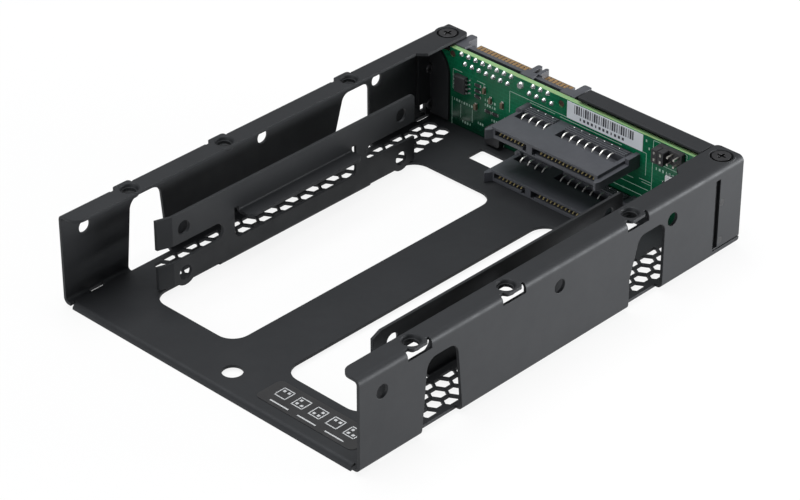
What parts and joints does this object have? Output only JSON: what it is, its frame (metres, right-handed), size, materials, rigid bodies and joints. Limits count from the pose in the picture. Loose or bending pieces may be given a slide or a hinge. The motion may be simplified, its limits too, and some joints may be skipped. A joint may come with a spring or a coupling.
{
  "type": "drive bay adapter",
  "caption": "Sheet-metal tray that holds a stacked pair of small drives and presents them as one larger drive, with a rear circuit board, stacked receptacles and a host plug.",
  "frame": {"origin": "middle of the bounding box, on the surface that the tray stands on", "axes": "+X to the right seen from the open front, +Y from the open front to the rear board, +Z from the floor to the flanges"},
  "size_m": [0.1016, 0.1378, 0.0261],
  "materials": {
    "black_coat": "satin powder coat",
    "black_metal": "satin",
    "board_green": "glossy solder mask",
    "dark_plastic": "matte",
    "contact_metal": "plated",
    "gold": "gold plated",
    "solder": "bright solder",
    "chip_black": "matte",
    "ceramic_tan": "ceramic",
    "bright_metal": "bright",
    "white_paper": "paper label",
    "black_paper": "film label"
  },
  "bodies": {
    "adapter": {"tray": "black_coat", "rear_bracket": "black_coat", "ear_rivets": "black_metal", "corner_screws": "black_metal", "circuit_board": "board_green", "upper_receptacle": "dark_plastic", "lower_receptacle": "dark_plastic", "host_plug": "dark_plastic", "upper_signal_contacts": "contact_metal", "upper_power_contacts": "contact_metal", "lower_signal_contacts": "contact_metal", "lower_power_contacts": "contact_metal", "host_signal_contacts": "gold", "host_power_contacts": "gold", "plug_solder_joints": "solder", "board_lock": "solder", "flash_chip": "chip_black", "flash_chip_leads": "solder", "resistors": "chip_black", "capacitors": "ceramic_tan", "power_inductor": "chip_black", "crystal": "bright_metal", "bridge_controller": "chip_black", "mode_header": "chip_black", "header_pins": "contact_metal", "serial_sticker": "white_paper", "mode_label": "black_paper"},
    "mode_cap_1": {"jumper_cap_1": "chip_black"},
    "mode_cap_2": {"jumper_cap_2": "chip_black"}
  },
  "joints": [
    {"name": "mode_cap_1_pull", "type": "slide", "parent": "adapter", "child": "mode_cap_1", "axis": [0, -1, 0], "range_m": [0, 0.004]},
    {"name": "mode_cap_2_pull", "type": "slide", "parent": "adapter", "child": "mode_cap_2", "axis": [0, -1, 0], "range_m": [0, 0.004]}
  ]
}
